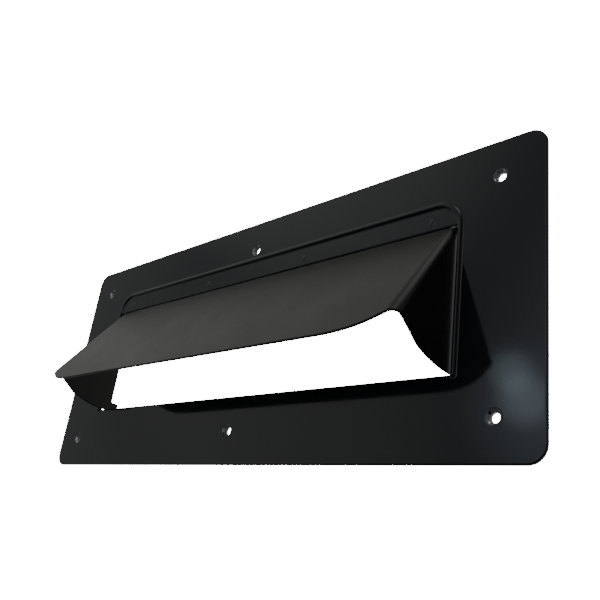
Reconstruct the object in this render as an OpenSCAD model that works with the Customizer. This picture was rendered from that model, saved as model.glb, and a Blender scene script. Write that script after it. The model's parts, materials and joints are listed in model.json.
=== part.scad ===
// Letter plate with a winged flap, for a gate, a wall or a door.
// The wall is behind the plate: +X is to the right, +Y goes into the wall and +Z is up.
// The origin is on the back of the plate, at the centre of its six fixing holes.
// The flap is drawn part open, which is its rest pose.

/* [Plate] */
// Width of the plate
plate_w = 400; // [380:1:460]
// Height of the plate
plate_h = 161; // [155:1:200]
// Sheet thickness of the plate
plate_t = 2; // [1.5:0.1:2.5]
// Radius of the plate's corners
corner_r = 9; // [2:0.5:15]

/* [Opening] */
// Width of the letter opening
opening_w = 307; // [240:1:310]
// Height of the opening's lower edge above the plate's lower edge
sill = 41.3; // [36:0.1:45]
// Height of the opening from its lower to its upper edge
opening_h = 78; // [75:0.5:80]
// Distance of the rain rim above the opening
rim_rise = 13.7; // [12:0.1:15]
// Radius of the rain rim's corners
rim_corner_r = 14; // [8:0.5:16]
// Width of the rain rim
rim_w = 2.8; // [2:0.1:4]
// How far the rain rim stands out
rim_out = 1.3; // [0.5:0.1:1.4]

/* [Fixings] */
// Distance between the left and right fixing holes
fix_w = 352; // [346:1:360]
// Distance between the upper and lower fixing holes
fix_h = 120; // [119:0.5:122]
// Diameter of a fixing hole
fix_d = 4.6; // [4.2:0.1:5.2]
// Diameter of a fixing hole's dimple at the front
dimple_d = 7.6; // [7:0.1:9]

/* [Flap] */
// Width of the flap over its wings
flap_w = 305; // [230:1:305]
// Length of the flap from the hinge line to its lip
flap_len = 85; // [82:0.5:88]
// Sheet thickness of the flap
flap_t = 1.5; // [1:0.1:1.6]
// Angle between the flap and the plate at rest
rest_open = 36.5; // [20:0.5:40]
// Outer radius of the bend between the panel and a wing
bend_r = 5; // [3:0.5:6]
// Radius of the wings about the hinge line
wing_r = 72.4; // [65:0.1:72.6]
// Radius of the lip's corners
lip_r = 14; // [8:0.5:16]

/* [Hinge] */
// Diameter of the hinge rod
rod_d = 4; // [3.6:0.1:4]
// Outer radius of a knuckle
knuckle_r = 3.5; // [3.4:0.05:3.6]
// Sheet thickness of the hinge leaves
leaf_t = 1.2; // [1:0.1:1.3]
// Number of knuckles, an odd number
knuckles = 11; // [7:2:13]
// Running clearance of the bushes on the rod
bush_gap = 0.05; // [0.03:0.01:0.1]

/* [Hidden] */
$fn = 64;

bottom_z = -plate_h / 2;
sill_z = bottom_z + sill;
lintel_z = sill_z + opening_h;
rim_z = lintel_z + rim_rise;
rim_x = opening_w / 2 + rim_w / 2;

// The hinge line, behind the opening's upper edge.
axis_y = 1.4;
axis_z = lintel_z - 4.8;
shoulder_r = 4.6;          // clears the opening's upper edge at every angle

// Where a fixing's dimple stands out behind the plate.
boss_h = 1.6;
boss_foot_r = dimple_d / 2 + 1.6;

// In the flap's own side view u points outwards and v points up, from the hinge line.
panel_u = 5.4;             // outer face of the panel
panel_in = panel_u - flap_t;
panel_top = 0.8;
wing_foot = -70.4;         // lower edge of a wing, beside the panel
bend_u = panel_u - bend_r;
bend_x = flap_w / 2 - bend_r;
lip_x = bend_x + 1.8;      // the lip's free corner, just past the bend's start

// The wing's rear edge stands upright, this far behind the hinge line, at rest.
rear_u = -4.1;
lug_front = -5.2;
lug_back = -10;
lug_top = -66;
lug_tip = -80;
sleeve_wall = 0.9;
sleeve_h = 6.5;

barrel_l = 284;
pitch = barrel_l / knuckles;
knuckle_gap = 0.6;
stack_gap = 2.1;           // room for the washer and the disc spring
washer_t = 1;
disc_h = 0.8;
leaf_h = 12.4;
moving_leaf_h = 22;
leaf_foot = lintel_z - 0.7;
moving_leaf_top = -4.4;
bush_r = 2.5;
cap_start = barrel_l / 2 + 0.3;
cap_l = 4.1;
cap_wall = 0.6;
cap_r = 3.3;
play = 0.1;                // clearance round a washer or a spring
rod_l = 2 * (cap_start + cap_l - cap_wall);

rivet_x = [-138, -46, 46, 138];
rivet_z = lintel_z + 5.2;
rivet_r = 1.6;
rivet_head_r = 2.5;
rivet_head_h = 0.3;
rivet_tail_r = 2.8;
rivet_tail_h = 1.2;

gasket_t = 3;
gasket_inset = 4;
gasket_inner_w = 320;
gasket_low = bottom_z + 29;
gasket_top = rim_z - 0.8;
gasket_neck_w = barrel_l + 1.6;    // the window closes in on the hinge's strip
gasket_neck_z = lintel_z + 0.4;

buffer_t = 1.6;
buffer_r = 2.5;
buffer_x = 118;
buffer_rise = 9.5;         // up from the flap's lip

// Even knuckles belong to the fixed leaf and odd ones to the moving leaf.
// The two outermost ones are shorter, to leave room for the friction stack.
function knuckle_start(k) = -barrel_l / 2 + k * pitch
    + (k == 0 ? 0 : k == knuckles - 1 ? stack_gap : knuckle_gap / 2);
function knuckle_end(k) = -knuckle_start(knuckles - 1 - k);

// Draws a side view, given as outwards and up from the hinge line, between two places along X.
module along_x(x_from, x_to) {
    translate([x_to, axis_y, axis_z])
        rotate([90, 0, -90])
            linear_extrude(x_to - x_from)
                children();
}

// A straight round bar or ring's body on the hinge line.
module on_axis(x_from, x_to, r) {
    translate([x_from, axis_y, axis_z])
        rotate([0, 90, 0])
            cylinder(r = r, h = x_to - x_from);
}

// Turns what is drawn shut to the rest pose.
module opened() {
    translate([0, axis_y, axis_z])
        rotate([-rest_open, 0, 0])
            translate([0, -axis_y, -axis_z])
                children();
}

// Draws an outline, given as right and up, between two depths.
module along_y(y_from, y_to) {
    translate([0, y_to, 0])
        rotate([90, 0, 0])
            linear_extrude(y_to - y_from)
                children();
}

module rounded_sheet(w, h, r) {
    square([w - 2 * r, h], center = true);
    square([w, h - 2 * r], center = true);
    for (sx = [-1, 1], sz = [-1, 1])
        translate([sx * (w / 2 - r), sz * (h / 2 - r)])
            circle(r);
}

module at_fixings() {
    for (x = [-fix_w / 2, 0, fix_w / 2], z = [-fix_h / 2, fix_h / 2])
        translate([x, 0, z])
            rotate([-90, 0, 0])
                children();
}

// Half-round rim over the top and down both sides of the opening.
module rain_rim() {
    corner_x = rim_x - rim_corner_r;
    corner_z = rim_z - rim_corner_r;
    translate([0, -plate_t, 0]) {
        for (side = [-1, 1]) {
            translate([side * rim_x, 0, sill_z])
                rim_run(corner_z - sill_z);
            translate([side * rim_x, 0, sill_z])
                rim_end();
        }
        translate([-corner_x, 0, rim_z])
            rotate([0, 90, 0])
                rim_run(2 * corner_x);
        for (side = [0, 1])
            mirror([side, 0, 0])
                translate([corner_x, 0, corner_z])
                    rotate([90, 0, 0])
                        rotate_extrude(angle = 90)
                            translate([rim_corner_r, 0])
                                rim_section();
    }
}

module rim_section() {
    intersection() {
        scale(rim_out)
            circle(1);
        translate([-rim_w / 2, 0])
            square([rim_w, rim_out]);
    }
}

module rim_run(length) {
    intersection() {
        cylinder(r = rim_out, h = length);
        translate([-rim_w, -rim_w, 0])
            cube([2 * rim_w, rim_w, length]);
    }
}

module rim_end() {
    intersection() {
        sphere(rim_out);
        translate([-rim_w, -rim_w, -rim_w])
            cube([2 * rim_w, rim_w, rim_w]);
    }
}

module front_plate() {
    dimple_deep = (dimple_d - fix_d) / 2;
    color("#16181a")
        difference() {
            union() {
                along_y(-plate_t, 0)
                    rounded_sheet(plate_w, plate_h, corner_r);
                rain_rim();
                at_fixings()
                    cylinder(r1 = boss_foot_r, r2 = dimple_d / 2, h = boss_h);
            }
            translate([-opening_w / 2, -plate_t - 1, sill_z])
                cube([opening_w, plate_t + 2, opening_h]);
            at_fixings() {
                translate([0, 0, -plate_t - 1])
                    cylinder(d = fix_d, h = plate_t + 4);
                translate([0, 0, -plate_t])
                    cylinder(d1 = dimple_d, d2 = fix_d, h = dimple_deep);
                translate([0, 0, -plate_t - 1])
                    cylinder(d = dimple_d, h = 1);
            }
            for (x = rivet_x)
                translate([x, 1, rivet_z])
                    rotate([90, 0, 0])
                        cylinder(r = rivet_r, h = plate_t + 2);
        }
}

// Soft frame that the plate's dimples sink into.
module rear_gasket() {
    color("#2a2a2c")
        difference() {
            along_y(0, gasket_t)
                rounded_sheet(plate_w - 2 * gasket_inset, plate_h - 2 * gasket_inset, corner_r - 4);
            translate([-gasket_inner_w / 2, -1, gasket_low])
                cube([gasket_inner_w, gasket_t + 2, gasket_neck_z - gasket_low]);
            translate([-gasket_neck_w / 2, -1, gasket_neck_z - 1])
                cube([gasket_neck_w, gasket_t + 2, gasket_top - gasket_neck_z + 1]);
            at_fixings()
                translate([0, 0, -1])
                    cylinder(r = boss_foot_r + 0.2, h = gasket_t + 2);
        }
}

module hinge_leaf_fixed() {
    color("#3a3c3e")
        difference() {
            union() {
                translate([-barrel_l / 2, 0, leaf_foot])
                    cube([barrel_l, leaf_t, leaf_h]);
                for (k = [0 : 2 : knuckles - 1]) {
                    on_axis(knuckle_start(k), knuckle_end(k), knuckle_r);
                    translate([knuckle_start(k), 0, axis_z + rod_d / 2 + play])
                        cube([knuckle_end(k) - knuckle_start(k), leaf_t, knuckle_r]);
                }
            }
            on_axis(-barrel_l, barrel_l, rod_d / 2);
            for (x = rivet_x)
                translate([x, leaf_t + 1, rivet_z])
                    rotate([90, 0, 0])
                        cylinder(r = rivet_r, h = leaf_t + 2);
        }
}

module hinge_leaf_moving() {
    color("#3a3c3e")
        opened()
            difference() {
                union() {
                    along_x(knuckle_start(1), knuckle_end(knuckles - 2))
                        translate([panel_in - leaf_t, -moving_leaf_h])
                            square([leaf_t, moving_leaf_h + moving_leaf_top]);
                    for (k = [1 : 2 : knuckles - 2]) {
                        on_axis(knuckle_start(k), knuckle_end(k), knuckle_r);
                        along_x(knuckle_start(k), knuckle_end(k))
                            translate([panel_in - leaf_t, moving_leaf_top - play])
                                square([leaf_t, play - moving_leaf_top]);
                    }
                }
                on_axis(-barrel_l, barrel_l, bush_r);
            }
}

module hinge_rod() {
    color("#b8bcc0")
        on_axis(-rod_l / 2, rod_l / 2, rod_d / 2);
}

// Flush head at the front, formed head behind the leaf.
module leaf_rivets() {
    color("#2c2e30")
        for (x = rivet_x)
            translate([x, 0, rivet_z])
                rotate([-90, 0, 0]) {
                    translate([0, 0, -plate_t])
                        cylinder(r = rivet_r, h = plate_t + leaf_t);
                    translate([0, 0, -plate_t - rivet_head_h])
                        cylinder(r1 = rivet_head_r - 0.5, r2 = rivet_head_r, h = rivet_head_h);
                    translate([0, 0, leaf_t])
                        cylinder(r1 = rivet_tail_r, r2 = rivet_tail_r - 0.4, h = rivet_tail_h);
                }
}

// Outline of the panel's flat part, as right and up from the hinge line.
module panel_outline() {
    translate([-bend_x, wing_foot])
        square([2 * bend_x, panel_top - wing_foot]);
    translate([-(lip_x - lip_r), -flap_len])
        square([2 * (lip_x - lip_r), flap_len + wing_foot]);
    for (side = [-1, 1])
        translate([side * (lip_x - lip_r), -flap_len + lip_r])
            intersection() {
                circle(lip_r);
                translate([-lip_r, -lip_r])
                    square([2 * lip_r, flap_len + wing_foot]);
            }
}

// Side view of a wing: a sector about the hinge line, cut off square beside the panel.
module wing_outline() {
    intersection() {
        circle(wing_r, $fn = 180);
        translate([-wing_r, wing_foot])
            square([wing_r + bend_u, panel_top - wing_foot]);
        rotate(-rest_open)
            translate([rear_u, -2 * wing_r])
                square([2 * wing_r, 3 * wing_r]);
    }
    rotate(-rest_open)
        polygon([[rear_u + 1, lug_top], [lug_back, lug_top], [lug_back, lug_tip],
            [lug_front, lug_tip], [lug_front, -wing_r], [rear_u + 1, -wing_r + 1]]);
}

module bend(v_from, v_to) {
    translate([bend_x, axis_y - bend_u, axis_z + v_from])
        intersection() {
            difference() {
                cylinder(r = bend_r, h = v_to - v_from);
                translate([0, 0, -1])
                    cylinder(r = bend_r - flap_t, h = v_to - v_from + 2);
            }
            translate([0, -bend_r, 0])
                cube([bend_r, bend_r, v_to - v_from]);
        }
}

module flap() {
    color("#2b2a28")
        opened() {
            translate([0, 0, axis_z])
                along_y(axis_y - panel_u, axis_y - panel_in)
                    panel_outline();
            for (side = [0, 1])
                mirror([side, 0, 0]) {
                    bend(wing_foot, panel_top);
                    along_x(flap_w / 2 - flap_t, flap_w / 2)
                        wing_outline();
                    shoulder();
                }
        }
}

// Closes the corner between the wing and the opening's upper edge, round about the hinge line.
module shoulder() {
    intersection() {
        on_axis(bend_x, flap_w / 2, shoulder_r);
        union() {
            bend(0, shoulder_r);
            along_x(flap_w / 2 - flap_t, flap_w / 2)
                translate([-shoulder_r, 0])
                    square([shoulder_r + bend_u, shoulder_r]);
        }
    }
}

module knuckle_bush(i) {
    k = 2 * i - 1;
    color("#e8e6df")
        difference() {
            on_axis(knuckle_start(k), knuckle_end(k), bush_r);
            on_axis(-barrel_l, barrel_l, rod_d / 2 + bush_gap);
        }
}

// The friction stack fills the gap between the outer two knuckles at each end.
module friction_washer() {
    x = knuckle_start(knuckles - 1);
    color("#e8e6df")
        difference() {
            on_axis(x - washer_t - play, x - play, knuckle_r - play);
            on_axis(0, barrel_l, rod_d / 2 + play);
        }
}

module disc_spring() {
    x = knuckle_end(knuckles - 2);
    color("#9aa0a6")
        translate([x + play, axis_y, axis_z])
            rotate([0, 90, 0])
                rotate_extrude()
                    polygon([[rod_d / 2 + play, disc_h / 2], [rod_d / 2 + play, disc_h],
                        [knuckle_r - play, disc_h / 2], [knuckle_r - play, 0]]);
}

module rod_cap() {
    color("#202224")
        difference() {
            on_axis(cap_start, cap_start + cap_l, cap_r);
            on_axis(cap_start - 1, rod_l / 2, rod_d / 2);
        }
}

// Rubber cap on the tip of a wing's stop lug.
module stop_sleeve() {
    color("#1c1c1d")
        opened()
            difference() {
                along_x(flap_w / 2 - flap_t - sleeve_wall, flap_w / 2 + sleeve_wall)
                    rotate(-rest_open)
                        translate([lug_back - sleeve_wall, lug_tip - sleeve_wall])
                            square([lug_front - lug_back + 2 * sleeve_wall, sleeve_h]);
                along_x(flap_w / 2 - flap_t, flap_w / 2)
                    rotate(-rest_open)
                        translate([lug_back, lug_tip])
                            square([lug_front - lug_back, 2 * sleeve_h]);
            }
}

// Rubber pad that the shut flap lands on.
module lip_buffer() {
    color("#1c1c1d")
        opened()
            translate([buffer_x, axis_y - panel_in, axis_z - flap_len + buffer_rise])
                rotate([-90, 0, 0])
                    cylinder(r = buffer_r, h = buffer_t);
}

module left() {
    mirror([1, 0, 0])
        children();
}

front_plate();
rear_gasket();
hinge_leaf_fixed();
hinge_leaf_moving();
hinge_rod();
leaf_rivets();
flap();
knuckle_bush(1);  // knuckle_bush_1
knuckle_bush(2);  // knuckle_bush_2
knuckle_bush(3);  // knuckle_bush_3
knuckle_bush(4);  // knuckle_bush_4
knuckle_bush(5);  // knuckle_bush_5
left() friction_washer();  // friction_washer_left
friction_washer();  // friction_washer_right
left() disc_spring();  // disc_spring_left
disc_spring();  // disc_spring_right
left() rod_cap();  // rod_cap_left
rod_cap();  // rod_cap_right
left() stop_sleeve();  // stop_sleeve_left
stop_sleeve();  // stop_sleeve_right
left() lip_buffer();  // lip_buffer_left
lip_buffer();  // lip_buffer_right
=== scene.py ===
import json
import math

import bmesh
import bpy
import numpy
from mathutils import Matrix, Vector, geometry


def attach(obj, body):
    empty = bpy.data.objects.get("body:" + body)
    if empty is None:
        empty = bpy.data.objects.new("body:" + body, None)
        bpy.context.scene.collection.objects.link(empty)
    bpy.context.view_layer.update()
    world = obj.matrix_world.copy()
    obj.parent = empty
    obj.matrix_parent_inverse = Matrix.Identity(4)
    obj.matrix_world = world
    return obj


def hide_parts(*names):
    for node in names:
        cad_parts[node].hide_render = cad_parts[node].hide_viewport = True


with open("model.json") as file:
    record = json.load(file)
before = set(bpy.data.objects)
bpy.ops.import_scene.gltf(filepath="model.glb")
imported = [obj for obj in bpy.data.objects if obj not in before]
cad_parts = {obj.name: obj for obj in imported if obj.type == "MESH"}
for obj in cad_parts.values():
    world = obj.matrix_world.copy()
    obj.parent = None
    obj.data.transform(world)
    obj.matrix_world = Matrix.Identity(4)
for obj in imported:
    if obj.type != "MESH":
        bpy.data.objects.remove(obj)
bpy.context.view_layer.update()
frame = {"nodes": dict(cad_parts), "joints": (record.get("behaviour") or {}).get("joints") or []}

scene = bpy.context.scene
mm = 0.001
print("frame loaded:", len(frame["nodes"]), "nodes")

# Where the hinge line is and how far the flap stands open at rest.
hinge = next(joint for joint in frame["joints"] if joint["name"] == "flap_hinge")
hingeY, hingeZ = (round(value / mm, 4) for value in hinge["pos_m"][1:])
restOpen = math.radians(36.5)


def linear(hexColour):
    channels = [int(hexColour[i:i + 2], 16) / 255 for i in (1, 3, 5)]
    return [c / 12.92 if c <= 0.04045 else ((c + 0.055) / 1.055) ** 2.4 for c in channels] + [1]


def addNode(tree, kind, settings=None, inputs=None):
    node = tree.nodes.new(kind)
    for name, value in (settings or {}).items():
        setattr(node, name, value)
    for name, value in (inputs or {}).items():
        if isinstance(value, bpy.types.NodeSocket):
            tree.links.new(value, node.inputs[name])
        else:
            node.inputs[name].default_value = value
    return node


def newObject(name, mesh):
    made = bpy.data.objects.new(name, mesh)
    scene.collection.objects.link(made)
    return made


def finishPiece(piece, body, material, standsFor=()):
    piece.data.materials.clear()
    piece.data.materials.append(material)
    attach(piece, body)
    if standsFor:
        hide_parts(*standsFor)


def smoothShade(mesh, sharpAngle=40):
    mesh.shade_smooth()
    mesh.set_sharp_from_angle(angle=math.radians(sharpAngle))


def keepFlatsFlat(piece):
    modifier = piece.modifiers.new("flat faces stay flat", "WEIGHTED_NORMAL")
    modifier.keep_sharp = True
    modifier.weight = 80


def opened(u, v):
    # from the flap's own side view, drawn shut, to y and z at rest
    return (hingeY - u * math.cos(restOpen) + v * math.sin(restOpen),
            hingeZ + u * math.sin(restOpen) + v * math.cos(restOpen))


def roundCorners(corners, steps=8):
    # corners are (across, up, radius), anticlockwise; a radius of 0 stays a plain point
    points = []
    for i, (x, z, radius) in enumerate(corners):
        here = Vector((x, z))
        if radius == 0:
            points.append(tuple(here))
            continue
        before = (Vector(corners[i - 1][:2]) - here).normalized()
        after = (Vector(corners[(i + 1) % len(corners)][:2]) - here).normalized()
        half = before.angle(after) / 2
        centre = here + (before + after).normalized() * radius / math.sin(half)
        start = here + before * radius / math.tan(half) - centre
        end = here + after * radius / math.tan(half) - centre
        turn = start.angle_signed(end)
        for k in range(steps + 1):
            spin = Matrix.Rotation(-turn * k / steps, 2)
            points.append(tuple(centre + spin @ start))
    return points


def boxLoop(left, low, rightSide, top, radius, steps=6):
    return roundCorners([(left, low, radius), (rightSide, low, radius),
                         (rightSide, top, radius), (left, top, radius)], steps)


def circle(x, z, radius, steps=64):
    turns = [math.tau * k / steps for k in range(steps)]
    return [(x + radius * math.cos(turn), z + radius * math.sin(turn)) for turn in turns]


def insetLoop(loop, distance):
    # each point goes along its bisector, to the left of the loop's direction
    here = numpy.array(loop)
    forward = numpy.roll(here, -1, 0) - here
    forward /= numpy.linalg.norm(forward, axis=1)[:, None]
    left = numpy.stack([-forward[:, 1], forward[:, 0]], 1)
    both = left + numpy.roll(left, 1, 0)
    return here + both * (2 * distance / (both ** 2).sum(1))[:, None]


def distanceTo(loop, points):
    start = numpy.array(loop)
    along = numpy.roll(start, -1, 0) - start
    best = numpy.full(len(points), 1e9)
    for a, d in zip(start, along):
        t = numpy.clip(((points - a) @ d) / (d @ d), 0, 1)
        best = numpy.minimum(best, numpy.linalg.norm(points - a - t[:, None] * d, axis=1))
    return best


def isInside(loop, point):
    count = 0
    for (ax, az), (bx, bz) in zip(loop, loop[1:] + loop[:1]):
        if (az > point[1]) != (bz > point[1]):
            count += point[0] < ax + (point[1] - az) / (bz - az) * (bx - ax)
    return count % 2 == 1


def edgeRows(radius, steps=4):
    # distances from an edge, close together where it rounds over, and one just past that
    quarter = math.pi / 2
    return [radius * (1 - math.cos(quarter * k / steps)) for k in range(steps + 1)] + [1.3 * radius]


def rolledEdge(distance, radius):
    # how far a rounded edge falls away at a distance from the outline
    near = numpy.clip(radius - distance, 0, radius)
    return radius - numpy.sqrt(radius ** 2 - near ** 2)


def layOut(outside, holes, rows, lines):
    # triangles between outline and holes, with a row of points at each distance from an edge
    points, edges = [], []

    def add(line, closed):
        first = len(points)
        points.extend(Vector(p) for p in line)
        edges.extend((first + k, first + k + 1) for k in range(len(line) - 1))
        if closed:
            edges.append((len(points) - 1, first))

    for loop in [outside] + [hole[::-1] for hole in holes]:
        for row in rows:
            add(insetLoop(loop, row) if row else loop, True)
    for line in lines:
        add(line, False)
    flat, _, faces, *_ = geometry.delaunay_2d_cdt(points, edges, [], 0, 1e-4)
    kept = []
    for face in faces:
        middle = sum((flat[i] for i in face), Vector((0, 0))) / len(face)
        if isInside(outside, middle) and not any(isInside(hole, middle) for hole in holes):
            kept.append(tuple(face))
    used = sorted({i for face in kept for i in face})
    place = {old: new for new, old in enumerate(used)}
    flat = numpy.array([tuple(flat[i]) for i in used])
    return flat, [tuple(place[i] for i in face) for face in kept]


def closedSheet(name, faces, front, back, edgeDistance, seat=None):
    # front and back are the points of both sides, in mm; the rim between them is closed
    count = len(front)
    # an edge that no neighbour runs the other way is on the border
    edges = dict.fromkeys(edge for face in faces for edge in zip(face, face[1:] + face[:1]))
    walls = [(b, a, a + count, b + count) for a, b in edges if (b, a) not in edges]
    behind = [tuple(i + count for i in face[::-1]) for face in faces]
    mesh = bpy.data.meshes.new(name)
    points = [tuple(point * mm) for point in numpy.concatenate([front, back])]
    mesh.from_pydata(points, [], faces + behind + walls)
    # a seat shows on the front only
    values = {"edgeDistance": numpy.tile(edgeDistance, 2)}
    if seat is not None:
        values["seat"] = numpy.concatenate([seat, numpy.zeros(count)])
    for label, value in values.items():
        stored = mesh.attributes.new(label, "FLOAT", "POINT")
        stored.data.foreach_set("value", value.astype(numpy.float32))
    smoothShade(mesh)
    piece = newObject(name, mesh)
    keepFlatsFlat(piece)
    return piece


def startMaterial(name):
    material = bpy.data.materials.new(name)
    material.use_nodes = True
    tree = material.node_tree
    shader = tree.nodes["Principled BSDF"]
    where = addNode(tree, "ShaderNodeTexCoord").outputs["Object"]
    return material, tree, shader, where


def blotches(tree, where, size, low, high, detail=2, stretch=None):
    # a value that wanders from low to high, over patches of the given size in mm
    if stretch:
        turned = addNode(tree, "ShaderNodeMapping", {}, {"Vector": where, "Scale": stretch})
        where = turned.outputs["Vector"]
    noise = addNode(tree, "ShaderNodeTexNoise", {}, {
        "Vector": where, "Scale": 1 / (size * mm), "Detail": detail, "Roughness": 0.55})
    # noise hardly ever leaves 0.3 to 0.7
    return addNode(tree, "ShaderNodeMapRange", {}, {
        "Value": noise.outputs["Fac"], "From Min": 0.3, "From Max": 0.7,
        "To Min": low, "To Max": high}).outputs["Result"]


def patchyColour(tree, where, look, detail=2):
    # two close colours that wander into each other
    amount = blotches(tree, where, look["patch"], 0, 1, detail)
    ends = {6: linear(look["colour"]), 7: linear(look["colourToo"])}
    return addNode(tree, "ShaderNodeMix", {"data_type": "RGBA"},
                   {"Factor": amount, **ends}).outputs[2]


def powderCoat(name, look):
    # polyester powder baked on steel: a smooth dark skin with a faint orange peel, thinner on edges
    material, tree, shader, where = startMaterial(name)
    colour = patchyColour(tree, where, look)
    edge = addNode(tree, "ShaderNodeAttribute", {"attribute_name": "edgeDistance"}).outputs["Fac"]
    thin = addNode(tree, "ShaderNodeMapRange", {"interpolation_type": "SMOOTHSTEP"},
                   {"Value": edge, "From Min": 0, "From Max": look["edgeWidth"],
                    "To Min": look["edgeWear"], "To Max": 0}).outputs["Result"]
    rubbed = addNode(tree, "ShaderNodeMath", {"operation": "MULTIPLY"},
                     {0: thin, 1: blotches(tree, where, 6, 0.3, 1, 4)}).outputs["Value"]
    worn = addNode(tree, "ShaderNodeMix", {"data_type": "RGBA"},
                   {"Factor": rubbed, 6: colour, 7: linear(look["edgeColour"])}).outputs[2]
    if look["seatColour"]:
        # the countersunk seats are rubbed down to the zinc, as screw heads leave them
        seat = addNode(tree, "ShaderNodeAttribute", {"attribute_name": "seat"}).outputs["Fac"]
        bare = addNode(tree, "ShaderNodeMath", {"operation": "MULTIPLY"},
                       {0: seat, 1: blotches(tree, where, 1.2, 0.45, 1, 3)}).outputs["Value"]
        worn = addNode(tree, "ShaderNodeMix", {"data_type": "RGBA"},
                       {"Factor": bare, 6: worn, 7: linear(look["seatColour"])}).outputs[2]
        tree.links.new(bare, shader.inputs["Metallic"])
    tree.links.new(worn, shader.inputs["Base Color"])
    haze = blotches(tree, where, look["hazePatch"], *look["roughness"], 5)
    tree.links.new(haze, shader.inputs["Roughness"])
    peel = addNode(tree, "ShaderNodeBump", {}, {
        "Height": blotches(tree, where, look["peel"], 0, 1, 2),
        "Strength": look["peelStrength"], "Distance": look["peelDepth"] * mm}).outputs["Normal"]
    grit = addNode(tree, "ShaderNodeBump", {}, {
        "Height": blotches(tree, where, look["grit"], 0, 1, 3), "Normal": peel,
        "Strength": look["gritStrength"], "Distance": fineDepth * mm}).outputs["Normal"]
    tree.links.new(grit, shader.inputs["Normal"])
    shader.inputs["IOR"].default_value = look["ior"]
    return material


fineDepth = 0.01  # mm, of powder grit and of lines in metal
# gloss black on the plate mirrors the lights softly, with a 2.6 mm orange peel that breaks them up
glossLook = {
    "colour": "#15171a", "colourToo": "#191b1e", "patch": 60,
    "edgeColour": "#2c2e31", "edgeWidth": 0.8, "edgeWear": 0.6, "seatColour": "#c4c7ca",
    "roughness": (0.06, 0.1), "hazePatch": 25, "ior": 1.5,
    "peel": 2.6, "peelStrength": 0.25, "peelDepth": 0.006, "grit": 0.5, "gritStrength": 0.03}
# satin black on the flap is a little warmer and finer, and spreads the light into a grey sheen
satinLook = {
    "colour": "#1c1a18", "colourToo": "#211f1c", "patch": 45,
    "edgeColour": "#3a3835", "edgeWidth": 0.6, "edgeWear": 0.6, "seatColour": None,
    "roughness": (0.28, 0.34), "hazePatch": 30, "ior": 1.5,
    "peel": 1.6, "peelStrength": 0.3, "peelDepth": 0.01, "grit": 0.35, "gritStrength": 0.1}
glossPowderCoat = powderCoat("gloss powder coat", glossLook)
satinPowderCoat = powderCoat("satin powder coat", satinLook)


def metal(name, look):
    # bare or plated steel: drawn or rolled lines, with patches of haze
    material, tree, shader, where = startMaterial(name)
    tree.links.new(patchyColour(tree, where, look, 4), shader.inputs["Base Color"])
    haze = blotches(tree, where, look["hazePatch"], *look["roughness"], 4)
    tree.links.new(haze, shader.inputs["Roughness"])
    lines = addNode(tree, "ShaderNodeBump", {}, {
        "Height": blotches(tree, where, look["line"], 0, 1, 3, look["stretch"]),
        "Strength": look["lineStrength"], "Distance": fineDepth * mm}).outputs["Normal"]
    tree.links.new(lines, shader.inputs["Normal"])
    shader.inputs["Metallic"].default_value = look["metallic"]
    return material


metalLooks = {
    # zinc plate is a cool light grey, a little milky, over rolled strip
    "zinc-plated steel": {
        "colour": "#a9adb0", "colourToo": "#8f9498", "patch": 9, "roughness": (0.3, 0.42),
        "hazePatch": 5, "line": 0.5, "stretch": (0.04, 1, 1), "lineStrength": 0.25,
        "metallic": 1},
    # ground rod has rings too fine to see, drawn at half a millimetre so that they show
    "ground stainless steel": {
        "colour": "#b9bcbf", "colourToo": "#a4a8ab", "patch": 12, "roughness": (0.16, 0.24),
        "hazePatch": 6, "line": 0.5, "stretch": (1, 0.08, 0.08), "lineStrength": 0.2,
        "metallic": 1},
    # hardened strip with a brown and blue temper
    "tempered spring steel": {
        "colour": "#5f5a57", "colourToo": "#4d5560", "patch": 2.5, "roughness": (0.22, 0.3),
        "hazePatch": 2, "line": 0.4, "stretch": (1, 0.2, 0.2), "lineStrength": 0.15, "metallic": 1},
    # black phosphate is a dull, fine-grained dark grey
    "black phosphated steel": {
        "colour": "#2b2d2f", "colourToo": "#36383a", "patch": 4, "roughness": (0.42, 0.55),
        "hazePatch": 3, "line": 0.3, "stretch": (1, 1, 1), "lineStrength": 0.3, "metallic": 0.9}}
metals = {name: metal(name, look) for name, look in metalLooks.items()}


def moulded(name, look):
    # rubber, nylon and foam: one body colour with a moulded skin or open cells
    material, tree, shader, where = startMaterial(name)
    tree.links.new(patchyColour(tree, where, look, 3), shader.inputs["Base Color"])
    haze = blotches(tree, where, look["grain"] * 4, *look["roughness"], 3)
    tree.links.new(haze, shader.inputs["Roughness"])
    if look["cells"]:
        grain = addNode(tree, "ShaderNodeTexVoronoi", {},
                        {"Vector": where, "Scale": 1 / (look["grain"] * mm)}).outputs["Distance"]
    else:
        grain = blotches(tree, where, look["grain"], 0, 1, 3)
    skin = addNode(tree, "ShaderNodeBump", {}, {
        "Height": grain, "Strength": look["grainStrength"],
        "Distance": look["grainDepth"] * mm}).outputs["Normal"]
    tree.links.new(skin, shader.inputs["Normal"])
    shader.inputs["Subsurface Weight"].default_value = look["soft"]
    shader.inputs["Subsurface Radius"].default_value = (0.001, 0.001, 0.001)
    return material


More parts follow.
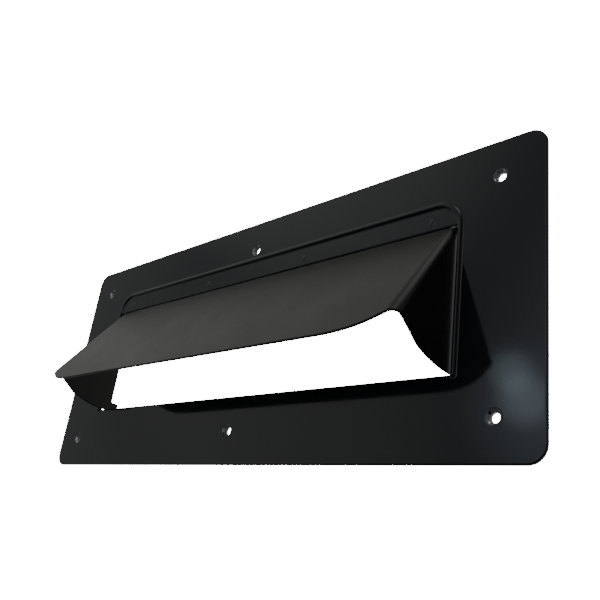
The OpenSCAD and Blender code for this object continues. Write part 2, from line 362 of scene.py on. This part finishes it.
mouldedLooks = {
    # natural nylon is a milky off-white that light sinks into
    "moulded nylon": {
        "colour": "#dcd9cc", "colourToo": "#cfcbbb", "patch": 5, "roughness": (0.38, 0.48),
        "grain": 0.4, "cells": False, "grainStrength": 0.15, "grainDepth": 0.02, "soft": 0.15},
    # EPDM is a dull black with a bloom of grey
    "EPDM rubber": {
        "colour": "#161617", "colourToo": "#202021", "patch": 3, "roughness": (0.6, 0.75),
        "grain": 0.35, "cells": False, "grainStrength": 0.4, "grainDepth": 0.03, "soft": 0},
    # closed-cell foam is matt charcoal, its 0.9 mm cells cut open on the surface
    "closed-cell foam": {
        "colour": "#262628", "colourToo": "#313133", "patch": 8, "roughness": (0.85, 0.95),
        "grain": 0.9, "cells": True, "grainStrength": 0.6, "grainDepth": 0.15, "soft": 0}}
mouldings = {name: moulded(name, look) for name, look in mouldedLooks.items()}
print("finishes made")


plate = {
    "halfWide": 200, "halfHigh": 80.5, "thick": 2,
    "cornerRadius": 9, "edgeRadius": 0.8, "backEdge": 0.25,
    "openingHalf": 153.5, "sill": -39.2, "lintel": 38.8, "openingCorner": 1.2,
    # the rain rim: its line, its section, and the groove that pressing it leaves at the back
    "rimX": 154.9, "rimZ": 52.5, "rimCorner": 14,
    "rimRadius": 1.3, "rimLean": 60, "groove": 0.9, "grooveHalf": 1.5,
    # the screw holes, their dimples, and how the dimples stand out at the back
    "fixX": (-176, 0, 176), "fixZ": (-60, 60), "holeRadius": 2.3, "holeEdge": 0.3,
    "dimpleRadius": 3.8, "dimpleRoll": 0.9, "bossRadius": 3.6, "bossFoot": 5.4, "bossHigh": 1.6,
    "seatRim": 0.1, "seatFade": 0.4}


def rimDistance(flat):
    x, z = numpy.abs(flat[:, 0]), flat[:, 1]
    cornerX, cornerZ = plate["rimX"] - plate["rimCorner"], plate["rimZ"] - plate["rimCorner"]
    side = numpy.hypot(x - plate["rimX"], numpy.minimum(0, z - plate["sill"]))
    turn = numpy.abs(numpy.hypot(x - cornerX, z - cornerZ) - plate["rimCorner"])
    top = numpy.abs(z - plate["rimZ"])
    return numpy.where(z <= cornerZ, side, numpy.where(x > cornerX, turn, top))


def rimHeight(distance):
    # a round crown that leans into a hollow of the same radius at each foot
    radius, lean = plate["rimRadius"], math.radians(plate["rimLean"])
    meet = radius * math.sin(lean)
    crown = numpy.sqrt(numpy.clip(radius ** 2 - distance ** 2, 0, None))
    foot = numpy.clip(2 * meet - distance, 0, meet)
    hollow = radius - numpy.sqrt(radius ** 2 - foot ** 2)
    return numpy.where(distance < meet, crown, hollow)


def rimLine(offset, steps=24):
    # a line beside the rim, from one end cap round to the other
    cornerX, cornerZ = plate["rimX"] - plate["rimCorner"], plate["rimZ"] - plate["rimCorner"]
    radius = plate["rimCorner"] + offset
    half = [(plate["rimX"] + offset, plate["sill"])]
    for k in range(steps + 1):
        angle = math.pi / 2 * k / steps
        half.append((cornerX + radius * math.cos(angle), cornerZ + radius * math.sin(angle)))
    return half + [(-x, z) for x, z in half[::-1]]


def rimCap(side, radius, steps=12):
    return [(side * plate["rimX"] + radius * math.cos(math.pi * k / steps),
             plate["sill"] - radius * math.sin(math.pi * k / steps)) for k in range(steps + 1)]


def dimpleDepth(distance):
    # the sheet rolls over into a 45 degree cone that runs down to the hole
    roll = plate["dimpleRoll"]
    start = plate["dimpleRadius"] + roll * math.tan(math.pi / 8)
    end = start - roll * math.sin(math.pi / 4)
    inRoll = numpy.clip(start - distance, 0, start - end)
    rolled = roll - numpy.sqrt(roll ** 2 - inRoll ** 2)
    return rolled + numpy.clip(end - distance, 0, None)


def softStep(value):
    value = numpy.clip(value, 0, 1)
    return value * value * (3 - 2 * value)


def makePlate():
    p = plate
    w, h = p["halfWide"], p["halfHigh"]
    outside = boxLoop(-w, -h, w, h, p["cornerRadius"], 16)
    half = p["openingHalf"]
    opening = boxLoop(-half, p["sill"], half, p["lintel"], p["openingCorner"])
    fixings = [(x, z) for x in p["fixX"] for z in p["fixZ"]]
    holes = [opening] + [circle(x, z, p["holeRadius"]) for x, z in fixings]
    # rows of points beside the rim, close together up to its foot
    meet = p["rimRadius"] * math.sin(math.radians(p["rimLean"]))
    lines = [rimLine(0)]
    for share in (0.25, 0.5, 0.75, 1, 1.25, 1.5, 1.75, 2, 2.3):
        offset = share * meet
        lines += [rimLine(offset), rimLine(-offset), rimCap(1, offset), rimCap(-1, offset)]
    # and rings of them round each hole, out to the boss's foot
    rings = numpy.linspace(p["holeRadius"] + 0.5, p["bossFoot"] + 0.2, 12)
    lines += [circle(x, z, radius) + [(x + radius, z)] for x, z in fixings for radius in rings]
    flat, faces = layOut(outside, holes, edgeRows(p["edgeRadius"]), lines)
    fromEdge = numpy.minimum(distanceTo(outside, flat), distanceTo(opening, flat))
    toHole = numpy.min([numpy.hypot(flat[:, 0] - x, flat[:, 1] - z) for x, z in fixings], 0)
    fromHole = toHole - p["holeRadius"]
    holeRoll = rolledEdge(fromHole, p["holeEdge"])
    rim = rimDistance(flat)
    y = -p["thick"] - rimHeight(rim) + rolledEdge(fromEdge, p["edgeRadius"])
    y += dimpleDepth(toHole) + holeRoll
    front = numpy.stack([flat[:, 0], y, flat[:, 1]], 1)
    boss = p["bossHigh"] * softStep((p["bossFoot"] - toHole) / (p["bossFoot"] - p["bossRadius"]))
    groove = p["groove"] * softStep(1 - rim / p["grooveHalf"])
    y = boss - groove - rolledEdge(fromEdge, p["backEdge"]) - holeRoll
    back = numpy.stack([flat[:, 0], y, flat[:, 1]], 1)
    seat = softStep((p["dimpleRadius"] + p["seatRim"] - toHole) / p["seatFade"])
    return closedSheet("plate_sheet", faces, front, back, numpy.minimum(fromEdge, fromHole), seat)


plateSheet = makePlate()
finishPiece(plateSheet, "plate", glossPowderCoat, ["front_plate"])
print("front plate made:", len(plateSheet.data.polygons), "faces")


flap = {
    "outerFace": 5.4, "thick": 1.5, "edgeRadius": 0.45,
    "bendStart": 147.5, "bendRadius": 5, "bendSteps": 12, "bendRows": (-90, 4),
    "top": 0.8, "lip": -85, "wingFoot": -70.4, "wingRadius": 72.4, "rearEdge": -4.1,
    "shoulder": 4.6,
    "lugFront": -5.2, "lugBack": -10, "lugTop": -66, "lugTip": -80, "lugCorner": 1.2, "lugRoot": 2,
    # how the lip's end sweeps up into the wing's foot
    "lipSweep": ((114, -85), (146, -84.6), (144, -71.5), (158, -70.4))}


def flapOutline():
    # the flap as a flat blank: across from its middle, and up from the hinge line
    f = flap
    unfold = f["bendStart"] + f["bendRadius"] * math.pi / 2 + f["outerFace"] - f["bendRadius"]
    half = [(0, f["lip"], 0)]
    a, b, c, d = (Vector(p) for p in f["lipSweep"])
    for k in range(25):
        t = k / 24
        point = a * (1 - t) ** 3 + b * 3 * t * (1 - t) ** 2 + c * 3 * t * t * (1 - t) + d * t ** 3
        half.append((point.x, point.y, 0))

    def fromRest(outward, up, radius):
        u = outward * math.cos(restOpen) + up * math.sin(restOpen)
        v = -outward * math.sin(restOpen) + up * math.cos(restOpen)
        return unfold - u, v, radius

    first = math.acos(-f["wingFoot"] / f["wingRadius"])
    last = restOpen + math.asin(-f["lugFront"] / f["wingRadius"])
    for k in range(25):
        angle = first + (last - first) * k / 24
        x, z = f["wingRadius"] * math.sin(angle), -f["wingRadius"] * math.cos(angle)
        half.append((unfold + x, z, 0))
    half += [fromRest(f["lugFront"], f["lugTip"], f["lugCorner"]),
             fromRest(f["lugBack"], f["lugTip"], f["lugCorner"]),
             fromRest(f["lugBack"], f["lugTop"], f["lugRoot"]),
             fromRest(f["rearEdge"], f["lugTop"], f["lugCorner"])]
    # a shoulder runs round the hinge line, and fades into the straight top where the sheet bends
    shoulder, wingStart = f["shoulder"], f["outerFace"] - f["bendRadius"]
    first = math.pi - math.asin(-f["rearEdge"] / shoulder) - restOpen
    last = -math.asin(wingStart / shoulder)
    for k in range(15):
        angle = first + (last - first) * k / 14
        half.append((unfold + shoulder * math.sin(angle), shoulder * math.cos(angle), 0))
    last = math.acos((math.sqrt(shoulder ** 2 - f["top"] ** 2) - wingStart) / f["bendRadius"])
    for k in range(1, 11):
        turn = math.pi / 2 + (last - math.pi / 2) * k / 10
        u = wingStart + f["bendRadius"] * math.cos(turn)
        across = f["bendStart"] + f["bendRadius"] * turn
        half.append((across, math.sqrt(shoulder ** 2 - u ** 2), 0))
    half.append((0, f["top"], 0))
    other = [(-s, v, r) for s, v, r in half[1:-1]]
    return roundCorners(half + other[::-1], 6)


def folded(flat, inward):
    # from along the sheet and up to places at rest, at a depth inside the outer face
    f = flap
    s, v = numpy.abs(flat[:, 0]), flat[:, 1]
    turn = numpy.clip((s - f["bendStart"]) / f["bendRadius"], 0, math.pi / 2)
    past = numpy.clip(s - f["bendStart"] - f["bendRadius"] * math.pi / 2, 0, None)
    radius = f["bendRadius"] - inward
    x = numpy.minimum(s, f["bendStart"]) + radius * numpy.sin(turn)
    u = f["outerFace"] - f["bendRadius"] + radius * numpy.cos(turn) - past
    y, z = opened(u, v)
    return numpy.stack([numpy.sign(flat[:, 0]) * x, y, z], 1)


def makeFlap():
    f = flap
    outline = flapOutline()
    low, high = f["bendRows"]
    lines = []
    for k in range(f["bendSteps"] + 1):
        s = f["bendStart"] + f["bendRadius"] * math.pi / 2 * k / f["bendSteps"]
        lines += [[(side * s, low), (side * s, high)] for side in (-1, 1)]
    flat, faces = layOut(outline, [], edgeRows(f["edgeRadius"], 3), lines)
    fromEdge = distanceTo(outline, flat)
    inward = rolledEdge(fromEdge, f["edgeRadius"])
    front, back = folded(flat, inward), folded(flat, f["thick"] - inward)
    return closedSheet("flap_sheet", faces, front, back, fromEdge)


flapSheet = makeFlap()
finishPiece(flapSheet, "flap", satinPowderCoat, ["flap"])
print("flap made:", len(flapSheet.data.polygons), "faces")


gasket = {
    "thick": 3, "inset": 4, "cornerRadius": 5, "holeRadius": 5.6, "edgeRadius": 0.35,
    "windowHalf": 160, "windowLow": -51.5, "windowTop": 51.7, "windowCorner": 1.5,
    "neckHalf": 142.8, "neckLow": 39.2, "neckCorner": 0.6}


def makeGasket():
    g = gasket
    w, h = plate["halfWide"] - g["inset"], plate["halfHigh"] - g["inset"]
    outside = boxLoop(-w, -h, w, h, g["cornerRadius"])
    # the window closes in on the hinge's strip at the top
    corner = g["windowCorner"]
    half = [(g["windowHalf"], g["windowLow"], corner), (g["windowHalf"], g["neckLow"], corner),
            (g["neckHalf"], g["neckLow"], g["neckCorner"]), (g["neckHalf"], g["windowTop"], corner)]
    window = roundCorners(half + [(-x, z, radius) for x, z, radius in half[::-1]], 6)
    holes = [window] + [circle(x, z, g["holeRadius"], 48)
                        for x in plate["fixX"] for z in plate["fixZ"]]
    flat, faces = layOut(outside, holes, edgeRows(g["edgeRadius"], 3), [])
    fromEdge = numpy.min([distanceTo(loop, flat) for loop in [outside] + holes], 0)
    rolled = rolledEdge(fromEdge, g["edgeRadius"])
    front = numpy.stack([flat[:, 0], rolled, flat[:, 1]], 1)
    back = numpy.stack([flat[:, 0], g["thick"] - rolled, flat[:, 1]], 1)
    return closedSheet("gasket_frame", faces, front, back, fromEdge)


gasketFrame = makeGasket()
finishPiece(gasketFrame, "plate", mouldings["closed-cell foam"], ["rear_gasket"])
print("gasket made")


# what repeats is set out in a row by one tree
def makeRowTree():
    tree = bpy.data.node_groups.new("row of parts", "GeometryNodeTree")
    sockets = {"Part": "Object", "Count": "Int", "First": "Vector", "Step": "Vector",
               "Finish": "Material"}
    for name, kind in sockets.items():
        tree.interface.new_socket(name, in_out="INPUT", socket_type="NodeSocket" + kind)
    tree.interface.new_socket("Geometry", in_out="OUTPUT", socket_type="NodeSocketGeometry")
    given = addNode(tree, "NodeGroupInput").outputs
    line = addNode(tree, "GeometryNodeMeshLine", {"mode": "OFFSET"},
                   {"Count": given["Count"], "Start Location": given["First"],
                    "Offset": given["Step"]})
    part = addNode(tree, "GeometryNodeObjectInfo", {}, {"Object": given["Part"]})
    placed = addNode(tree, "GeometryNodeInstanceOnPoints", {},
                     {"Points": line.outputs["Mesh"], "Instance": part.outputs["Geometry"]})
    real = addNode(tree, "GeometryNodeRealizeInstances", {},
                   {"Geometry": placed.outputs["Instances"]})
    done = addNode(tree, "GeometryNodeSetMaterial", {},
                   {"Geometry": real.outputs["Geometry"], "Material": given["Finish"]})
    addNode(tree, "NodeGroupOutput", {}, {"Geometry": done.outputs["Geometry"]})
    return tree


rowTree = makeRowTree()


def rowOf(name, part, count, first, step, material):
    # sets the part out count times from first on, as one plain mesh; the part itself goes
    values = {"Part": part, "Count": count, "First": [v * mm for v in first],
              "Step": [v * mm for v in step], "Finish": material}
    host = newObject(name, bpy.data.meshes.new(name))
    modifier = host.modifiers.new("row of parts", "NODES")
    modifier.node_group = rowTree
    for socket in rowTree.interface.items_tree:
        if socket.in_out == "INPUT":
            modifier[socket.identifier] = values[socket.name]
    seenNow = host.evaluated_get(bpy.context.evaluated_depsgraph_get())
    mesh = bpy.data.meshes.new_from_object(seenNow)
    host.modifiers.remove(modifier)
    host.data = mesh
    bpy.data.objects.remove(part)
    smoothShade(mesh)
    return host


def joined(name, parts):
    whole = bmesh.new()
    for part in parts:
        whole.from_mesh(part.data)
    mesh = bpy.data.meshes.new(name)
    whole.to_mesh(mesh)
    for part in parts:
        bpy.data.objects.remove(part)
    smoothShade(mesh)
    return newObject(name, mesh)


def turnedPart(name, profile, axis, steps=32):
    # profile is (radius, along) in mm, from one end of the axis round to the other
    points, rings = [], []
    for radius, along in profile:
        ring = []
        for k in range(steps if radius > 0 else 1):
            turn = math.tau * k / steps
            a, b = radius * math.cos(turn), radius * math.sin(turn)
            ring.append(len(points))
            points.append(Vector((along, a, b) if axis == "X" else (a, along, b)) * mm)
        rings.append(ring)
    faces = []
    for low, high in zip(rings, rings[1:]):
        for k in range(steps):
            corners = [low[k % len(low)], low[(k + 1) % len(low)],
                       high[(k + 1) % len(high)], high[k % len(high)]]
            faces.append(list(dict.fromkeys(corners)))
    if len(rings[0]) > 1:
        # a ring section closes on its own start
        last, first = rings[-1], rings[0]
        faces += [[last[k], last[(k + 1) % steps], first[(k + 1) % steps], first[k]]
                  for k in range(steps)]
    mesh = bpy.data.meshes.new(name)
    mesh.from_pydata(points, [], faces)
    outward = bmesh.new()
    outward.from_mesh(mesh)
    bmesh.ops.recalc_face_normals(outward, faces=outward.faces)
    outward.to_mesh(mesh)
    smoothShade(mesh)
    return newObject(name, mesh)


def extrudedPart(name, outline, left, rightEnd):
    # outline is (y, z) in mm, drawn out along x
    bar = bmesh.new()
    ends = [[bar.verts.new(Vector((x, y, z)) * mm) for y, z in outline] for x in (left, rightEnd)]
    bar.faces.new(ends[0])
    bar.faces.new(ends[1][::-1])
    count = len(outline)
    for k in range(count):
        after = (k + 1) % count
        bar.faces.new([ends[0][k], ends[0][after], ends[1][after], ends[1][k]])
    bmesh.ops.recalc_face_normals(bar, faces=bar.faces)
    mesh = bpy.data.meshes.new(name)
    bar.to_mesh(mesh)
    return newObject(name, mesh)


def softenEdges(piece, width):
    bevel = piece.modifiers.new("rounded edges", "BEVEL")
    bevel.width = width * mm
    bevel.segments = 2
    bevel.limit_method = "ANGLE"
    bevel.angle_limit = math.radians(40)
    bevel.use_clamp_overlap = True


leaves = {
    "barrel": 284, "knuckles": 11, "gap": 0.6, "stackGap": 2.1,
    "radius": 3.5, "fixedBore": 2.02, "movingBore": 2.52,
    "fixedFront": 0, "fixedBack": 1.2, "fixedFoot": 38.1, "fixedTop": 50.5,
    "movingIn": 2.7, "movingOut": 3.9, "movingTop": -4.4, "movingFoot": -22,
    # where each roll starts and ends, in degrees from outwards, and how far its root laps its strip
    "fixedRoll": (118, 435), "movingRoll": (12, 300), "lap": 1,
    # how far the fixed strip's front runs down, and where the moving strip's faces bend to the roll
    "frontDrop": 0.4, "bendLow": -1.3, "bendHigh": -0.3, "bendIn": 0.15, "innerTop": -0.9,
    "cornerRadius": 1.2, "edgeRadius": 0.2, "knuckleEdge": 0.12,
    "weldRadius": 2, "weldRise": 0.22, "weldSunk": 0.2,
    "weldUp": -14, "weldFirst": -112, "weldStep": 32, "welds": 8}
pitch = leaves["barrel"] / leaves["knuckles"]


def rolledEye(bore, fromAngle, toAngle, steps=30):
    # the strip's outer and inner faces round the rod
    outer, inner = [], []
    for k in range(steps + 1):
        angle = math.radians(fromAngle + (toAngle - fromAngle) * k / steps)
        outer.append((leaves["radius"] * math.cos(angle), leaves["radius"] * math.sin(angle)))
        inner.append((bore * math.cos(angle), bore * math.sin(angle)))
    return outer, inner


def fixedKnuckle(left, rightEnd):
    # the roll starts at the strip's front, goes under the rod and ends against the strip's back
    front, back = leaves["fixedFront"] - hingeY, leaves["fixedBack"] - hingeY
    outer, inner = rolledEye(leaves["fixedBore"], *leaves["fixedRoll"])
    low = leaves["fixedFoot"] - leaves["frontDrop"] - hingeZ
    high = leaves["fixedFoot"] + leaves["lap"] - hingeZ
    section = [(front, high), (front, low)] + outer + inner[::-1]
    lift = math.sqrt(leaves["fixedBore"] ** 2 - back ** 2)
    section += [(back, lift), (back, high)]
    section = [(y + hingeY, z + hingeZ) for y, z in section]
    return extrudedPart("knuckle", section, left, rightEnd)


def movingKnuckle(left, rightEnd):
    # rolled the other way, from the flap's side over the rod
    outer, inner = rolledEye(leaves["movingBore"], *leaves["movingRoll"])
    front, back = leaves["movingOut"], leaves["movingIn"]
    low = leaves["movingTop"] - leaves["lap"]
    section = [(front, low), (front, leaves["bendLow"]),
               (front - leaves["bendIn"], leaves["bendHigh"])]
    section += outer + inner[::-1] + [(back, leaves["innerTop"]), (back, low)]
    return extrudedPart("knuckle", [opened(u, v) for u, v in section], left, rightEnd)


def knuckleRow(make, first, count):
    # knuckles of one leaf, every second place along the barrel
    start = -leaves["barrel"] / 2
    left = start + first * pitch + leaves["gap"] / 2
    part = make(left, left + pitch - leaves["gap"])
    return rowOf("knuckle_row", part, count, (0, 0, 0), (2 * pitch, 0, 0), zincPlate)


def stripSheet(left, low, rightEnd, high, place):
    # a flat strip with rounded corners; place turns across, up and depth into a point
    outline = boxLoop(left, low, rightEnd, high, leaves["cornerRadius"])
    flat, faces = layOut(outline, [], edgeRows(leaves["edgeRadius"], 2), [])
    fromEdge = distanceTo(outline, flat)
    rolled = rolledEdge(fromEdge, leaves["edgeRadius"])
    thick = leaves["fixedBack"] - leaves["fixedFront"]
    front, back = place(flat, rolled), place(flat, thick - rolled)
    strip = closedSheet("strip", faces, front, back, fromEdge)
    strip.modifiers.clear()
    return strip


def onPlate(flat, depth):
    return numpy.stack([flat[:, 0], leaves["fixedFront"] + depth, flat[:, 1]], 1)


def onFlap(flat, depth):
    return numpy.stack([flat[:, 0], *opened(leaves["movingOut"] - depth, flat[:, 1])], 1)


def makeHinge():
    half = leaves["barrel"] / 2
    short = pitch - leaves["stackGap"]  # the end knuckles leave room for washer and spring
    fixed = joined("hinge_leaf_on_plate", [
        stripSheet(-half, leaves["fixedFoot"], half, leaves["fixedTop"], onPlate),
        knuckleRow(fixedKnuckle, 2, 4), fixedKnuckle(-half, short - half),
        fixedKnuckle(half - short, half)])
    first = -half + pitch + leaves["gap"] / 2
    moving = joined("hinge_leaf_on_flap", [
        stripSheet(first, leaves["movingFoot"], -first, leaves["movingTop"], onFlap),
        knuckleRow(movingKnuckle, 1, 5)])
    for piece in (fixed, moving):
        softenEdges(piece, leaves["knuckleEdge"])
        keepFlatsFlat(piece)
    return fixed, moving


zincPlate = metals["zinc-plated steel"]
fixedLeaf, movingLeaf = makeHinge()
finishPiece(fixedLeaf, "plate", zincPlate, ["hinge_leaf_fixed"])
finishPiece(movingLeaf, "flap", zincPlate, ["hinge_leaf_moving"])

# low rings where the moving leaf is spot-welded to the flap
radius, rise, sunk = leaves["weldRadius"], leaves["weldRise"], leaves["weldSunk"]
weld = turnedPart("weld", [
    (0, 0.4 * rise), (0.55 * radius, 0.45 * rise), (0.75 * radius, rise),
    (0.92 * radius, 0.5 * rise), (radius, -sunk), (0, -sunk)], "Y", 24)
weldY, weldZ = opened(leaves["movingIn"], leaves["weldUp"])
weld.data.transform(Matrix.Rotation(-restOpen, 4, "X"))
welds = rowOf("weld_marks", weld, leaves["welds"], (leaves["weldFirst"], weldY, weldZ),
              (leaves["weldStep"], 0, 0), zincPlate)
finishPiece(welds, "flap", zincPlate)
print("hinge leaves made")


rivets = {
    "first": -138, "step": 92, "count": 4, "up": 44,
    # radius and depth from the low front head to the formed tail
    "profile": [
        (0, -2.3), (1.2, -2.27), (1.9, -2.19), (2.35, -2.06), (2.5, -1.9), (1.6, -1.8),
        (1.6, 1.1), (2.8, 1.1), (2.8, 1.4), (2.6, 1.9), (2.1, 2.25), (1.5, 2.38),
        (0.9, 2.3), (0.6, 2.05), (0, 2)]}
rivet = turnedPart("rivet", rivets["profile"], "Y", 40)
rivetRow = rowOf("rivet_row", rivet, rivets["count"], (rivets["first"], 0, rivets["up"]),
                 (rivets["step"], 0, 0), glossPowderCoat)
finishPiece(rivetRow, "plate", glossPowderCoat, ["leaf_rivets"])

cap = {
    "start": 142.3, "end": 146.4, "radius": 3.3, "bore": 2, "wall": 0.6,
    "dome": 1.3, "chamfer": 0.3}


def capProfile(side):
    c = cap
    profile = [(c["bore"], c["start"]), (c["radius"] - c["chamfer"], c["start"]),
               (c["radius"], c["start"] + c["chamfer"])]
    for k in range(9):
        angle = math.pi / 2 * k / 8
        profile.append((c["radius"] - c["dome"] * (1 - math.cos(angle)),
                        c["end"] - c["dome"] * (1 - math.sin(angle))))
    profile += [(0, c["end"]), (0, c["end"] - c["wall"]), (c["bore"], c["end"] - c["wall"])]
    return [(radius, side * along) for radius, along in profile]


phosphate = metals["black phosphated steel"]
for side, name in ((-1, "left"), (1, "right")):
    roundCap = turnedPart("push_cap_" + name, capProfile(side), "X")
    roundCap.data.transform(Matrix.Translation((0, hingeY * mm, hingeZ * mm)))
    finishPiece(roundCap, "plate", phosphate, ["rod_cap_" + name])


def softCopy(node, name, width):
    # a copy of a small moulded part with its facets joined up and its edges rounded
    shape = bmesh.new()
    shape.from_mesh(frame["nodes"][node].data)
    bmesh.ops.remove_doubles(shape, verts=shape.verts, dist=1e-6)
    bmesh.ops.dissolve_limit(shape, angle_limit=math.radians(1), verts=shape.verts,
                             edges=shape.edges)
    mesh = bpy.data.meshes.new(name)
    shape.to_mesh(mesh)
    smoothShade(mesh)
    piece = newObject(name, mesh)
    softenEdges(piece, width)
    keepFlatsFlat(piece)
    return piece


# each one's edge radius
softParts = {
    "stop_sleeve_left": 0.35, "stop_sleeve_right": 0.35,
    "lip_buffer_left": 0.6, "lip_buffer_right": 0.6}
for node, width in softParts.items():
    piece = softCopy(node, "soft_" + node, width)
    finishPiece(piece, "flap", mouldings["EPDM rubber"], [node])

# these keep their own shapes and only get a finish
springSteel, nylon = metals["tempered spring steel"], mouldings["moulded nylon"]
keptParts = {
    "hinge_rod": metals["ground stainless steel"],
    "disc_spring_left": springSteel, "disc_spring_right": springSteel,
    "friction_washer_left": nylon, "friction_washer_right": nylon}
for number in range(1, 6):
    keptParts["knuckle_bush_" + str(number)] = nylon
for node, material in keptParts.items():
    kept = frame["nodes"][node]
    for slot in kept.material_slots:
        slot.material = material
print("small parts made")


# where the camera stands in metres, which way its picture runs, and lens and sensor in mm
view = {
    "place": (0.3237, -0.2673, -0.1295),
    "right": (0.7216, 0.6806, 0.1272), "down": (-0.1596, 0.3423, -0.9259),
    "lens": 41.5, "sensor": 36}

eye = bpy.data.cameras.new("camera")
camera = newObject("camera", eye)
right, down = Vector(view["right"]).normalized(), Vector(view["down"])
down = (down - right * down.dot(right)).normalized()
turned = Matrix((right, -down, right.cross(-down))).transposed()
camera.matrix_world = Matrix.Translation(view["place"]) @ turned.to_4x4()
eye.sensor_width = view["sensor"]
eye.lens = view["lens"]
scene.camera = camera

studio = {
    "floorZ": -0.9, "floorSize": 60, "floorColour": "#f2f2f1", "floorRoughness": 0.9,
    "skyStrength": 20, "shellGap": 0.05,
    "tentWide": 2.0, "tentLow": -0.8, "tentHigh": 2.2, "tentGlow": 0.28,
    # direction, half angle and softness in degrees, strength, colour;
    # a strength below 0 is a black card, which takes light away
    "softBoxes": [
        ((-0.376, -0.885, 0.276), 0.3, 2.2, 1.3, "#cfe6f2"),
        ((-0.36, -0.903, 0.232), 0.3, 2.8, 1.5, "#cfe6f2"),
        ((-0.36, -0.9, 0.22), 1, 6, 0.25, "#cfe2ff"),
        ((0.069, -0.982, 0.174), 12, 20, 0.6, "#d6e6ff"),
        ((-0.53, -0.55, 0.64), 8, 12, 0.25, "#ffffff"),
        ((-0.68, -0.71, 0.17), 4, 14, 0.12, "#ffffff"),
        ((-0.6, 0.15, 0.78), 20, 25, 0.11, "#fffdf8"),
        ((0.35, -0.05, 0.93), 8, 12, 0.6, "#ffffff"),
        ((0, 1, 0.1), 30, 35, 0.5, "#ffffff"),
        ((1, -0.15, 0), 20, 50, -0.2, "#ffffff"),
        ((-0.1, -0.3, -1), 35, 35, -0.24, "#ffffff")]}


def glowMaterial(name, strength):
    material = bpy.data.materials.new(name)
    material.use_nodes = True
    tree = material.node_tree
    tree.nodes.clear()
    emission = addNode(tree, "ShaderNodeEmission", {}, {"Strength": strength})
    addNode(tree, "ShaderNodeOutputMaterial", {}, {"Surface": emission.outputs["Emission"]})
    return material, tree, emission


def makeTent():
    # a tent of soft light that the camera doesn't see, inside a shell that lights the floor
    s = studio
    tent, tree, emission = glowMaterial("soft light tent", 1)
    where = addNode(tree, "ShaderNodeTexCoord").outputs["Object"]
    toward = addNode(tree, "ShaderNodeVectorMath", {"operation": "NORMALIZE"},
                     {0: where}).outputs["Vector"]
    total = addNode(tree, "ShaderNodeRGB").outputs["Color"]
    total.default_value = [s["tentGlow"]] * 3 + [1]
    for direction, half, soft, strength, colour in s["softBoxes"]:
        facing = addNode(tree, "ShaderNodeVectorMath", {"operation": "DOT_PRODUCT"},
                         {0: toward, 1: Vector(direction).normalized()}).outputs["Value"]
        rim, core = (math.cos(math.radians(angle)) for angle in (half + soft, half))
        glow = addNode(tree, "ShaderNodeMapRange", {"interpolation_type": "SMOOTHSTEP"},
                       {"Value": facing, "From Min": rim, "From Max": core,
                        "To Min": 0, "To Max": strength}).outputs["Result"]
        tint = addNode(tree, "ShaderNodeMix", {"data_type": "RGBA", "blend_type": "MULTIPLY"},
                       {"Factor": 1, 6: glow, 7: linear(colour)}).outputs[2]
        total = addNode(tree, "ShaderNodeMix", {"data_type": "RGBA", "blend_type": "ADD"},
                        {"Factor": 1, 6: total, 7: tint}).outputs[2]
    tree.links.new(total, emission.inputs["Color"])
    outer = glowMaterial("room light", s["skyStrength"])[0]
    middle, tall = (s["tentLow"] + s["tentHigh"]) / 2, (s["tentHigh"] - s["tentLow"]) / 2
    for name, grow, material in (("light_tent", 0, tent), ("room_shell", s["shellGap"], outer)):
        shape = bmesh.new()
        bmesh.ops.create_uvsphere(shape, u_segments=32, v_segments=16, radius=1)
        for vert in shape.verts:
            across, along, up = vert.co
            wide = s["tentWide"] + grow
            vert.co = (across * wide, along * wide, middle + up * (tall + grow))
        mesh = bpy.data.meshes.new(name)
        shape.to_mesh(mesh)
        mesh.materials.append(material)
        shell = newObject(name, mesh)
        shell.visible_camera = False


def makeFloor():
    size, z = studio["floorSize"], studio["floorZ"]
    corners = [(-size, -size, z), (size, -size, z), (size, size, z), (-size, size, z)]
    mesh = bpy.data.meshes.new("floor")
    mesh.from_pydata(corners, [], [(0, 1, 2, 3)])
    # plain pale paper, matt enough to show no reflection
    material, _, shader, _ = startMaterial("pale paper floor")
    shader.inputs["Base Color"].default_value = linear(studio["floorColour"])
    shader.inputs["Roughness"].default_value = studio["floorRoughness"]
    mesh.materials.append(material)
    newObject("floor", mesh)


makeTent()
makeFloor()
world = bpy.data.worlds.new("studio")
scene.world = world
world.use_nodes = True
sky = world.node_tree.nodes["Background"]
sky.inputs["Color"].default_value = (1, 1, 1, 1)
sky.inputs["Strength"].default_value = studio["skyStrength"]
print("camera and light set")
